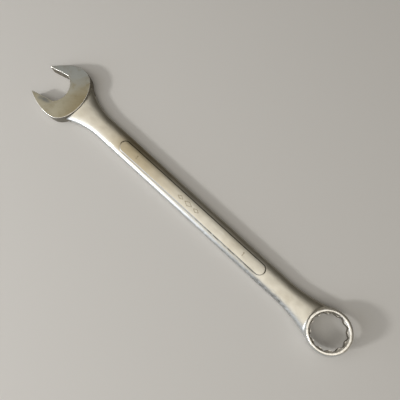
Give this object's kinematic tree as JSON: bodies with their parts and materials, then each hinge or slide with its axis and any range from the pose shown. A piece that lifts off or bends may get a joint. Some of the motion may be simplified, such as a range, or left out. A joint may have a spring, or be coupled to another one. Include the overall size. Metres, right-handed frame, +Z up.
{
  "type": "combination wrench",
  "caption": "Plated steel combination wrench: a fixed open end set at 15 degrees, a straight handle with a raised panel, and a tilted 12-point ring end.",
  "frame": {"origin": "below the middle of the wrench, on the surface that it lies on", "axes": "+X along the handle from the open end to the ring end, +Y across it towards the shorter jaw, +Z up out of the surface"},
  "size_m": [0.3328, 0.0494, 0.0216],
  "materials": {
    "plated_steel": "satin plated steel, dulled and lightly worn"
  },
  "bodies": {
    "root": {"wrench_forging": "plated_steel"}
  },
  "joints": []
}
